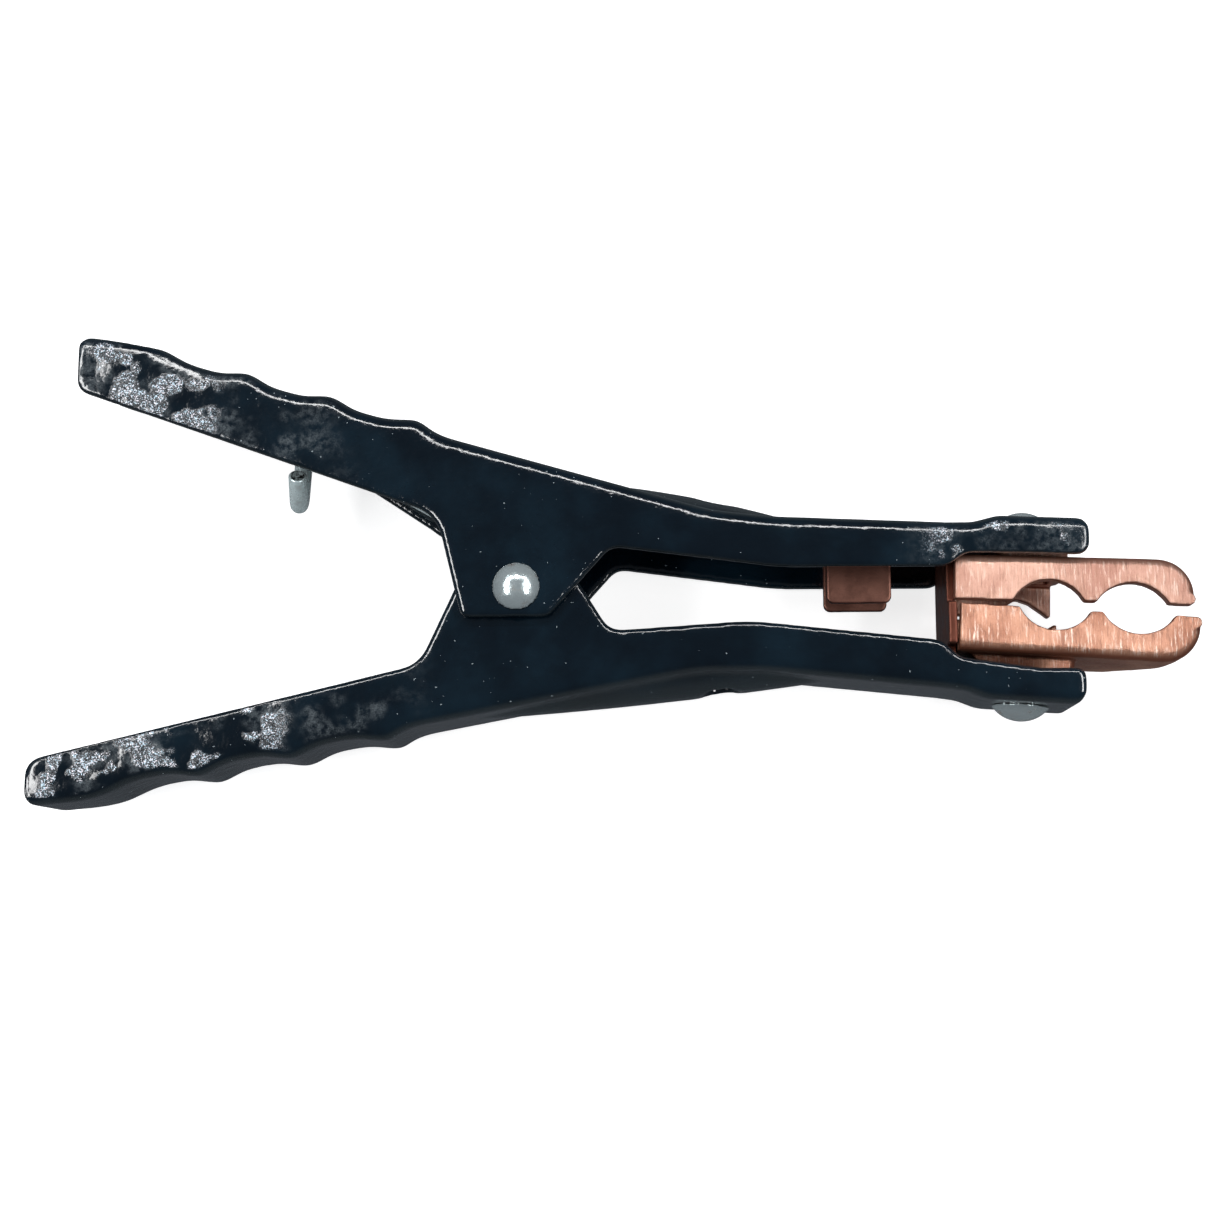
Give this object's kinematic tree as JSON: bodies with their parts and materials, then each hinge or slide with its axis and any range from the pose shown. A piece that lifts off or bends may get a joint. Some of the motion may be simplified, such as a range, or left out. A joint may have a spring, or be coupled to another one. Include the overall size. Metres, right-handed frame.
{
  "type": "spring clamp",
  "caption": "Heavy spring clamp with two steel channel arms on a riveted pivot, a torsion spring and round-bite copper jaws with a cable crimp.",
  "frame": {"origin": "on the resting plane, under the middle of the clamp's bounding box", "axes": "+X towards the jaws, +Y the way the upper arm opens, +Z along the pivot rivet's axis, up from the resting plane"},
  "size_m": [0.2012, 0.0824, 0.0299],
  "materials": {
    "arm_coating": "thick high-gloss dark blue-black coating with an orange-peel surface",
    "copper": "sheared and pressed copper, pale where cut and brown in the bends",
    "lower_copper": "sheared and pressed copper, brighter and more orange",
    "brown_copper": "tarnished brown copper sheet with bright cut edges",
    "crimp_copper": "dull brown copper strap",
    "zinc": "bright zinc-plated steel",
    "spring_zinc": "zinc-plated spring wire",
    "steel": "plain turned steel"
  },
  "bodies": {
    "lower_half": {"lower_arm": "arm_coating", "lower_jaw": "lower_copper", "lower_jaw_rivet": "zinc", "contact_plate": "brown_copper", "pivot_rivet": "zinc", "pivot_sleeve": "steel", "torsion_spring": "spring_zinc"},
    "upper_half": {"upper_arm": "arm_coating", "upper_jaw": "copper", "upper_jaw_rivet": "zinc", "cable_crimp": "crimp_copper"}
  },
  "joints": [
    {"name": "pivot", "type": "hinge", "parent": "lower_half", "child": "upper_half", "pos_m": [-0.01562, -0.00424, 0.01495], "axis": [0, 0, 1], "range_deg": [0, 28], "stiffness_Nm_per_rad": 4, "springref_deg": -34.38, "deforming": ["torsion_spring"]}
  ]
}
